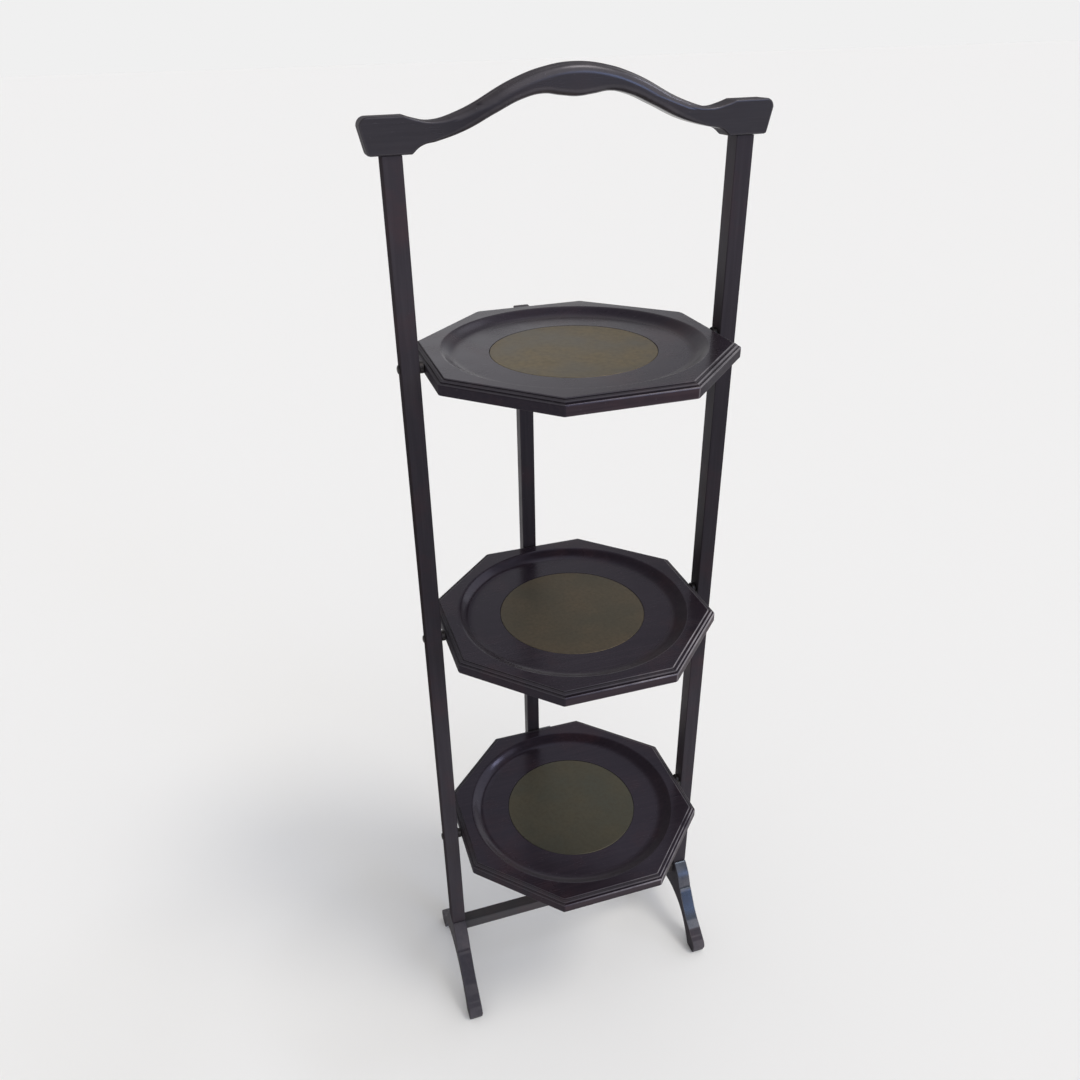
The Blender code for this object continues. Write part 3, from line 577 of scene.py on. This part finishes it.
def hollowPlate(plate, tier):  # turns the dish out of the board and bores the pins' and the screw's holes
    shape = plateShape
    low, high, _, _ = plateLevels(tier)
    half, middle, reach = (high.x - low.x) / 2, (low + high) / 2, shape["cutterReach"] * mm
    cutter = turnPiece("dishCutter", dishProfile(tier), shape["dishSides"])
    lay(cutter, (0, 0, 0), (middle.x, middle.y, 0))
    pinRadius, pinEnd = shape["pinRadius"] * mm, half - shape["pinDepth"] * mm
    holes = [holeAlongX(pinRadius, sign * pinEnd, sign * (half + reach), middle.y, middle.z)
             for sign in sideSigns.values()]
    screwRadius, screwTop = shape["screwRadius"] * mm, low.z + shape["screwDepth"] * mm
    screwHole = turnPiece("screwCutter", [(screwRadius, low.z - reach), (screwRadius, screwTop)])
    screwX, screwY = centreOf(tier + "_hinge_block").x, high.y - shape["screwSetback"] * mm
    cutAway(plate, cutter, *holes, lay(screwHole, (0, 0, 0), (screwX, screwY, 0)))


def finishPlate(plate, tier):
    wear = plateWear
    low, high, shoulder, floor = plateLevels(tier)
    middle = (low + high) / 2
    dish, wall = plateShape["dishRadius"] * mm, plateShape["wallWidth"] * mm

    def facing(place, way):  # 1 for a place that lies that way from the middle, -1 for one opposite
        return (place - middle).to_2d().normalized().dot(Vector(wear[way]))

    def beyondDish(place):
        return (place - middle).to_2d().length > dish + wear["dishMargin"] * mm

    def rubbed(place):  # painted highlight and wear: the moulding's arrises are rubbed and painted pale most at the right of its front, where the lamps catch them
        amount = (facing(place, "highlightAndWearWay") - wear["highlightAndWearFrom"]) / wear["highlightAndWearSpan"]
        return wear["highlightAndWearShare"][tier] * min(1, max(wear["highlightAndWearLeast"], amount)) * beyondDish(place)

    def onSide(face):
        return face.normal.z < wear["sideFacing"] and face.center.z < shoulder

    def onMoulding(face):
        return beyondDish(face.center) and face.center.z < high.z - wear["rimMargin"] * mm

    def inFront(face):
        return facing(face.center, "frontWay") > wear["frontReach"]

    def onLitFrontSide(face):  # painted light: the front edge, and on the two lower plates the one to its right, get a lighter copy where the lamps fall
        litToo = facing(face.center, "rightWay") < wear["rightStart"] or tier != "top"
        return onSide(face) and onMoulding(face) and inFront(face) and litToo

    def inGroove(face):  # painted shade in the moulding's groove, but not on the right, where the lamps fall
        facesLamps = facing(face.center, "lampWay") > wear["lampReach"]
        aboveSide = face.center.z > shoulder + wear["grooveMargin"] * mm
        return onMoulding(face) and aboveSide and not facesLamps

    # painted shade: the groove, and the moulding away from the front
    def shadedMoulding(face):
        return inGroove(face) or onMoulding(face) and not inFront(face)

    def onLedge(face):  # painted highlight: the level steps of the moulding, lighter as if lit from above
        return face.normal.z > wear["ledgeFacing"] and shadedMoulding(face)

    def dulled(place):  # the dish's wall is less polished than its floor and the rim
        t = 1 - (dish - (place - middle).to_2d().length) / wall
        if not 0 < t < 1 or place.z <= floor:
            return 0.0
        below, above = wear["dullFades"]
        amount = wear["dullLeast"] + wear["dullWall"][tier] * facing(place, "dullWay")
        return min(1, below * t, above * (1 - t)) * amount

    markDull(plate, dulled)
    handOver(plate, plateWood, tier + "_tier", tier + "_plate",
             ((plateShadedGrooveWood, shadedMoulding), (plateLitLedgeWood, onLedge), (plateSideWood, onSide),
              (plateLitFrontWood, onLitFrontSide)), rubbed)


def makeInlay(tier):
    low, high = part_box(tier + "_inlay")
    radius, edge, steps = (high.x - low.x) / 2, plateShape["inlayRound"] * mm, plateShape["inlaySteps"]
    rings = [(radius, low.z)]
    for k in range(steps + 1):
        turn = k / steps * pi / 2
        rings.append((radius - edge + edge * cos(turn), high.z - edge + edge * sin(turn)))
    inlay = turnPiece(tier + "Inlay", rings, plateShape["inlaySides"])
    middle = centreOf(tier + "_plate")
    lay(inlay, (0, 0, 0), (middle.x, middle.y, 0))
    handOver(inlay, inlayBrass[tier], tier + "_tier", tier + "_inlay")


for tier in tiers:
    plate = mouldPlate(tier)
    hollowPlate(plate, tier)
    finishPlate(plate, tier)
    makeInlay(tier)
print("plates and inlays made")


# uprights, stretcher and rear bar

stockShape = dict(easing=0.8, easingSteps=4, longEdge=100, seatGap=0.3,  # mm
                  pinHole=2.3, hingeHole=1.9, cutterReach=5, outerFacing=0.5)


def runsAlong(axis):  # picks the long edges of a piece of stock
    def test(edge):
        return abs(edge.verts[0].co[axis] - edge.verts[1].co[axis]) > stockShape["longEdge"] * mm
    return test


def easeStock(piece, test):
    softenEdges(piece, test, stockShape["easing"] * mm, stockShape["easingSteps"])


def boreStock(piece, low, high, node, radius):  # right through along x, where that pin or screw goes
    middle, reach = centreOf(node), stockShape["cutterReach"] * mm
    cutAway(piece, holeAlongX(radius * mm, low.x - reach, high.x + reach, middle.y, middle.z))


def makeUpright(side):
    low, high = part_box(side + "_upright")
    gap = stockShape["seatGap"] * mm
    bottom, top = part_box(side + "_foot")[1].z + gap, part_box("handle")[0].z - gap
    upright = startBlock(side + "Upright", (low.x, low.y, bottom), (high.x, high.y, top))
    easeStock(upright, runsAlong(2))
    for tier in tiers:
        boreStock(upright, low, high, f"{tier}_{side}_pin", stockShape["pinHole"])

    def onOuterSide(face):  # no polish is left there
        return sideSigns[side] * face.normal.x > stockShape["outerFacing"]

    handOver(upright, uprightWood[side], "frame", side + "_upright",
             ((uprightSideWood, onOuterSide),))


def makeStretcher():
    low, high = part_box("stretcher")
    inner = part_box("right_foot")[0].x - stockShape["seatGap"] * mm
    stretcher = startBlock("stretcherRail", (-inner, low.y, low.z), (inner, high.y, high.z))
    easeStock(stretcher, runsAlong(0))
    handOver(stretcher, railWood, "frame", "stretcher")


def makeBar():
    low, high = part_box("rear_bar")
    bar = startBlock("rearBar", low, high)
    easeStock(bar, isSharp)
    for tier in tiers:
        boreStock(bar, low, high, tier + "_hinge_screw", stockShape["hingeHole"])
    handOver(bar, barWood, "rear_bar", "rear_bar")


makeUpright("left")
makeUpright("right")
makeStretcher()
makeBar()
print("posts, stretcher and bar made")


# handle

handleShape = dict(  # lines in mm from the middle and from the posts' shoulders, 1 where they turn a corner
    topLine=((0, 50.8, 0), (22.1, 48.3, 0), (42.5, 42.2, 0), (83.3, 23.5, 0), (101.1, 19.4, 0),
             (112.2, 21.3, 0), (119, 23.5, 1)),
    underLine=((145.4, 1.9, 1), (144.8, 0.5, 1), (143.2, 0, 1), (115.5, 0, 1), (108.8, 4.8, 0),
               (97.75, 7.1, 0), (77.35, 12.9, 0), (56.1, 22.3, 0), (38.25, 29.6, 0), (23.8, 32.3, 0),
               (11.9, 30.9, 0), (0, 29.8, 0)),
    corner=(143, 17.5), cornerRound=6, cornerSteps=6,
    topRound=7.4, underRound=4.6, endRound=1.5, roundSteps=6, gripReach=62, endReach=108,
    between=(40, 0.12, 0.00135),  # height, fall and bend of a line between the top and the underside
    topFacing=0.82, frontFacing=0.5,
    dullness=0.45, dullAt=-70, dullReach=40)  # the left arm is less polished


def makeHandle():
    shape = handleShape
    low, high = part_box("handle")
    (cornerX, cornerZ), radius, steps = shape["corner"], shape["cornerRound"], shape["cornerSteps"]
    turns = [pi / 2 * k / steps for k in range(steps + 1)]
    cornerLine = [(cornerX + radius * sin(t), cornerZ + radius * cos(t), 1) for t in turns]
    knots = bothHalves([*shape["topLine"], *cornerLine, *shape["underLine"]])
    handle = drawBoard("serpentineHandle", knots, high.y - low.y)

    def share(place):  # fully rounded along the top, less below, nearly square at the ends
        x = abs(place.x) / mm
        height, fall, bend = shape["between"]
        onTop = place.y / mm > height - fall * x - bend * x * x
        full = 1 if onTop else shape["underRound"] / shape["topRound"]
        t = min(1, max(0, (x - shape["gripReach"]) / (shape["endReach"] - shape["gripReach"])))
        return full - (full - shape["endRound"] / shape["topRound"]) * t * t * (3 - 2 * t)

    roundOver(handle, shape["topRound"] * mm, share, shape["roundSteps"])
    lay(handle, (pi / 2, 0, 0), (0, (low.y + high.y) / 2, low.z))

    def unpolished(face):  # the flat tops and the end walls
        onEnd = abs(face.center.x) > shape["endReach"] * mm
        return face.normal.z > shape["topFacing"] or onEnd and abs(face.normal.y) < shape["frontFacing"]

    def dulled(place):
        return shape["dullness"] * max(0, 1 - abs(place.x / mm - shape["dullAt"]) / shape["dullReach"])

    markDull(handle, dulled)
    handOver(handle, handleWood, "frame", "handle", ((handleEndWood, unpolished),))


makeHandle()
print("handle made")


# feet

footShape = dict(  # outline in mm from the post's middle and from the floor, 1 where it turns a corner
    outline=((0, 82, 1), (8.2, 82, 1), (9.4, 81.4, 0), (18.15, 72.15, 0), (24.3, 59.9, 1), (24.5, 58.2, 1),
             (24.9, 57.3, 1), (25.7, 57, 1), (26.5, 56.3, 0), (42.5, 34, 0), (59, 20, 0), (68, 9.6, 0),
             (65.5, 0, 1), (53, 0, 1), (48.2, 9.35, 0), (42.4, 19.1, 0), (31.8, 31.45, 0), (17, 39.5, 0),
             (0, 42.5, 0)),
    edgeRound=1.1, roundSteps=4, toeStart=54, sideFacing=0.8)


def makeFoot(side):
    shape = footShape
    low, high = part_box(side + "_foot")
    middle = (low + high) / 2
    foot = drawBoard(side + "ArchedFoot", bothHalves(shape["outline"]), high.x - low.x)
    roundOver(foot, shape["edgeRound"] * mm, segments=shape["roundSteps"])
    lay(foot, (pi / 2, 0, pi / 2), (middle.x, middle.y, 0))

    def unpolished(face):  # the toes have lost their polish; the whole left foot takes the same dull, lighter copy as painted light
        return side == "left" or abs(face.center.y - middle.y) > shape["toeStart"] * mm

    def onFlatSide(face):
        return abs(face.normal.x) > shape["sideFacing"]

    handOver(foot, footWood, "frame", side + "_foot",
             ((footToeWood, unpolished), (footSideWood, onFlatSide)))


makeFoot("left")
makeFoot("right")
print("feet made")


# pivot pins, collars, hinge blocks and screws

fittingShape = dict(
    pinRadius=2.0, pinHead=3.4, pinHeadHeight=1.8, pinTip=0.4,  # mm
    collar=4.6, collarHole=2.25, collarEdge=0.4, washer=4.6, washerHole=1.85, washerEdge=0.25,
    hingeRadius=1.6, hingeHead=3.4, hingeHeadHeight=1.9,
    screwRadius=1.6, screwHead=3.2, screwTip=2, slotWidth=0.9, slotDepth=0.9, slotReach=6,
    screwPoint=3,  # how many times thinner the tip ends
    screwSlotTurn=0.5, hingeSlotTurn=0.6,  # radians
    blockRound=0.9, blockRoundSteps=4, noseDrop=1.5, noseSteps=16, boreGap=0.3, cutterReach=3,
    domeFoot=0.3, domeTurn=80, domeSteps=6, sides=32)  # how much of a head is upright, then degrees


def domedHead(radius, height):
    shape = fittingShape
    top, upright = radians(shape["domeTurn"]), shape["domeFoot"]
    rings = [(radius, 0)]
    for k in range(shape["domeSteps"] + 1):
        turn = top * k / shape["domeSteps"]
        rings.append((radius * cos(turn), height * (upright + (1 - upright) * sin(turn) / sin(top))))
    return rings


def makeRing(name, body, node, axisNode, kind):  # a drilled collar or washer on that pin or screw
    low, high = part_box(node)
    width, centre = high.x - low.x, centreOf(axisNode)
    radius, hole, edge = (fittingShape[size] * mm for size in (kind, kind + "Hole", kind + "Edge"))
    rings = [(radius - edge, 0), (radius, edge), (radius, width - edge), (radius - edge, width)]
    ring = turnPiece(name, rings, fittingShape["sides"])
    drill(ring, hole)
    lay(ring, (0, pi / 2, 0), (low.x, centre.y, centre.z))
    handOver(ring, fittingSteel, body, node)


def makePin(tier, side):
    shape, sign = fittingShape, sideSigns[side]
    low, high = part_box(f"{tier}_{side}_pin")
    middle = (low + high) / 2
    radius, tip, headHeight = (shape[size] * mm for size in ("pinRadius", "pinTip", "pinHeadHeight"))
    length = high.x - low.x - headHeight
    rings = [(radius - tip, 0), (radius, tip), (radius, length)]
    rings += [(r, length + z) for r, z in domedHead(shape["pinHead"] * mm, headHeight)]
    pin = turnPiece(f"{tier}{side.title()}Pin", rings, shape["sides"])
    start = min(abs(low.x), abs(high.x))
    lay(pin, (0, sign * pi / 2, 0), (sign * start, middle.y, middle.z))
    handOver(pin, fittingSteel, "frame", f"{tier}_{side}_pin")


def cutSlot(screw, place, turn):
    width, depth, reach = (fittingShape[size] * mm for size in ("slotWidth", "slotDepth", "slotReach"))
    cutter = startBlock("slotCutter", (-reach, -width / 2, -depth), (reach, width / 2, depth))
    cutAway(screw, lay(cutter, turn, place))


def makeBlock(tier):
    shape = fittingShape
    low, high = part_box(tier + "_hinge_block")
    drop = shape["noseDrop"] * mm  # the overhang lies a little lower, to clear the next plate when folded
    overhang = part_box(tier + "_plate")[1].y - drop
    noseTop = high.z - drop
    noseRound = (noseTop - low.z) / 2
    noseY, noseZ = high.y - noseRound, low.z + noseRound
    knots = [(low.y, high.z, 1), (overhang, high.z, 1), (overhang, noseTop, 1)]
    for k in range(shape["noseSteps"] + 1):
        turn = pi * k / shape["noseSteps"]
        knots.append((noseY + noseRound * sin(turn), noseZ + noseRound * cos(turn), 1))
    knots += [(low.y + (high.z - low.z) / 2, low.z, 1), (low.y, noseZ, 1)]
    block = drawBoard(tier + "HingeBlock", knots, high.x - low.x, 1)
    roundOver(block, shape["blockRound"] * mm, segments=shape["blockRoundSteps"])
    lay(block, (pi / 2, 0, pi / 2), ((low.x + high.x) / 2, 0, 0))

    gap, reach = shape["boreGap"] * mm, shape["cutterReach"] * mm
    head, shank = shape["screwHead"] * mm + gap, shape["screwRadius"] * mm + gap
    screw, hinge = centreOf(tier + "_block_screw"), centreOf(tier + "_hinge_screw")
    hole = turnPiece("sinkCutter", [(head, low.z - reach), (head, low.z), (shank, low.z + head - shank),
                                    (shank, high.z + reach)])
    lay(hole, (0, 0, 0), (screw.x, screw.y, 0))
    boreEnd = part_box(tier + "_hinge_screw")[1].x + gap
    bore = holeAlongX(shape["hingeRadius"] * mm + gap, low.x - reach, boreEnd, hinge.y, hinge.z)
    cutAway(block, hole, bore)
    handOver(block, footWood, tier + "_tier", tier + "_hinge_block")


def makeBlockScrew(tier):
    shape = fittingShape
    low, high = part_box(tier + "_block_screw")
    middle, length = (low + high) / 2, high.z - low.z
    head, shank, tip = (shape[size] * mm for size in ("screwHead", "screwRadius", "screwTip"))
    rings = [(head, 0), (shank, head - shank), (shank, length - tip), (shank / shape["screwPoint"], length)]
    screw = turnPiece(tier + "BlockScrew", rings, shape["sides"])
    lay(screw, (0, 0, 0), (middle.x, middle.y, low.z))
    cutSlot(screw, (middle.x, middle.y, low.z), (0, 0, shape["screwSlotTurn"]))
    handOver(screw, fittingSteel, tier + "_tier", tier + "_block_screw")


def makeHingeScrew(tier):
    shape = fittingShape
    low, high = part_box(tier + "_hinge_screw")
    middle = (low + high) / 2
    radius, headHeight = shape["hingeRadius"] * mm, shape["hingeHeadHeight"] * mm
    length = high.x - low.x - headHeight
    rings = [(radius, 0), (radius, length)]
    rings += [(r, length + z) for r, z in domedHead(shape["hingeHead"] * mm, headHeight)]
    screw = turnPiece(tier + "HingeScrew", rings, shape["sides"])
    lay(screw, (0, -pi / 2, 0), (high.x, middle.y, middle.z))
    cutSlot(screw, (low.x, middle.y, middle.z), (shape["hingeSlotTurn"], pi / 2, 0))
    handOver(screw, fittingSteel, tier + "_tier", tier + "_hinge_screw")


for tier in tiers:
    for side in sideSigns:
        makePin(tier, side)
        pin, collar = f"{tier}_{side}_pin", f"{tier}_{side}_collar"
        makeRing(f"{tier}{side.title()}Collar", "frame", collar, pin, "collar")
    makeBlock(tier)
    makeBlockScrew(tier)
    makeHingeScrew(tier)
    makeRing(tier + "HingeWasher", tier + "_tier", tier + "_washer", tier + "_hinge_screw", "washer")
print("pins, collars, hinge blocks and screws made")


# floor, light and camera

studio = dict(
    floor="#f0f0f0", floorSize=80, horizon="#f0f0f0", ceiling="#bbbaba",  # pale all round, dimmer above
    horizonTop=0.08, ceilingStart=0.42,  # sine of the height above the floor
    # light passed, then where it starts, is full, fades and ends: bearings from straight behind, heights
    screens=(((1.42, 1.44, 1.50), (-0.3, -0.05, 0.10, 0.44), (0.20, 0.36, 0.40, 0.5)),
             ((0.65, 0.66, 0.69), (0.34, 0.48, 0.58, 0.75), (0.06, 0.16, 0.67, 0.75)),
             ((1.25, 1.25, 1.25), (-0.1, 0.15, 0.7, 0.9), (0.58, 0.66, 2, 3)),
             ((1.5, 1.5, 1.5), (0.2, 0.32, 0.6, 0.8), (0.71, 0.77, 2, 3))),
    # strength, then degrees of width, azimuth and elevation
    lamps=dict(keyLight=(0.662, 16, 52, 61, "#fff9ee"), rimLight=(0.22, 34, 112, 34, "#ffffff"),
               frontLight=(0.845, 64, 28, 48, "#ffffff"), windowLight=(0.19, 9, 84, 42, "#eef2ff"),
               skyLight=(0.34, 17, 28, 15, "#a6c8ff")))


def makeFloor():
    clearSelection()
    bpy.ops.mesh.primitive_plane_add(size=studio["floorSize"], location=(0, 0, 0))
    floor = bpy.context.object
    floor.name = "paleFloor"
    material, tree, shader = startMaterial("paleFloorPaint")
    shader.inputs["Base Color"].default_value = linear(studio["floor"])
    shader.inputs["Roughness"].default_value = 1.0
    shader.inputs["Specular IOR Level"].default_value = 0.0
    floor.data.materials.append(material)


def makeSurroundings():
    world = bpy.data.worlds.new("softStudio")
    bpy.context.scene.world = world
    world.use_nodes = True
    tree = world.node_tree
    direction = addNode(tree, "TexCoord").outputs["Generated"]
    parts = addNode(tree, "SeparateXYZ", i0=direction).outputs
    bearing = addNode(tree, "Math", {"operation": "ARCTAN2"}, i0=parts["X"], i1=parts["Y"]).outputs[0]
    smooth = {"interpolation_type": "SMOOTHSTEP"}
    rise = addNode(tree, "MapRange", {"From Min": studio["horizonTop"], "From Max": studio["ceilingStart"],
                                      **smooth}, Value=parts["Z"]).outputs[0]
    colours = {6: linear(studio["horizon"]), 7: linear(studio["ceiling"])}
    colour = addNode(tree, "Mix", {"data_type": "RGBA", **colours}, i0=rise).outputs[2]

    # a brighter screen behind, a darker one to its right, two bright ones overhead, all above the picture
    for passed, across, upward in studio["screens"]:
        amount = None
        for source, (start, full, fade, end) in ((bearing, across), (parts["Z"], upward)):
            for first, last in ((start, full), (end, fade)):
                edge = addNode(tree, "MapRange", {"From Min": first, "From Max": last, **smooth},
                               Value=source).outputs[0]
                if amount:
                    edge = addNode(tree, "Math", {"operation": "MULTIPLY"}, i0=amount, i1=edge).outputs[0]
                amount = edge
        lit = addNode(tree, "VectorMath", {"operation": "MULTIPLY", 1: passed}, i0=colour).outputs[0]
        colour = addNode(tree, "Mix", {"data_type": "RGBA"}, i0=amount, i6=colour, i7=lit).outputs[2]
    tree.links.new(colour, tree.nodes["Background"].inputs["Color"])


def hangLamps():
    for name, (strength, width, azimuth, elevation, colour) in studio["lamps"].items():
        lamp = bpy.data.lights.new(name, "SUN")
        lamp.energy = strength
        lamp.color = linear(colour)[:3]
        lamp.angle = radians(width)
        light = bpy.data.objects.new(name, lamp)
        bpy.context.scene.collection.objects.link(light)
        light.rotation_euler = (radians(90 - elevation), 0, radians(azimuth))


cameraView = dict(place=(-0.2301, -0.6415, 0.9075), yaw=-16.209, pitch=29.368, roll=-1.549,
                  lens=29.692, sensor=36, shift=(0.01724, -0.00384))  # m, degrees, mm, parts of the frame


def placeCamera():
    view = cameraView
    camera = bpy.data.objects.new("photoCamera", bpy.data.cameras.new("photoCamera"))
    bpy.context.scene.collection.objects.link(camera)
    camera.data.sensor_width, camera.data.lens = view["sensor"], view["lens"]
    camera.data.shift_x, camera.data.shift_y = view["shift"]
    yaw = Matrix.Rotation(radians(view["yaw"]), 4, "Z")
    pitch = Matrix.Rotation(radians(90 - view["pitch"]), 4, "X")
    roll = Matrix.Rotation(radians(view["roll"]), 4, "Z")
    camera.matrix_world = Matrix.Translation(view["place"]) @ yaw @ pitch @ roll
    bpy.context.scene.camera = camera


makeFloor()
makeSurroundings()
hangLamps()
placeCamera()
bpy.context.scene.view_settings.view_transform = "Standard"
print("studio and camera set")
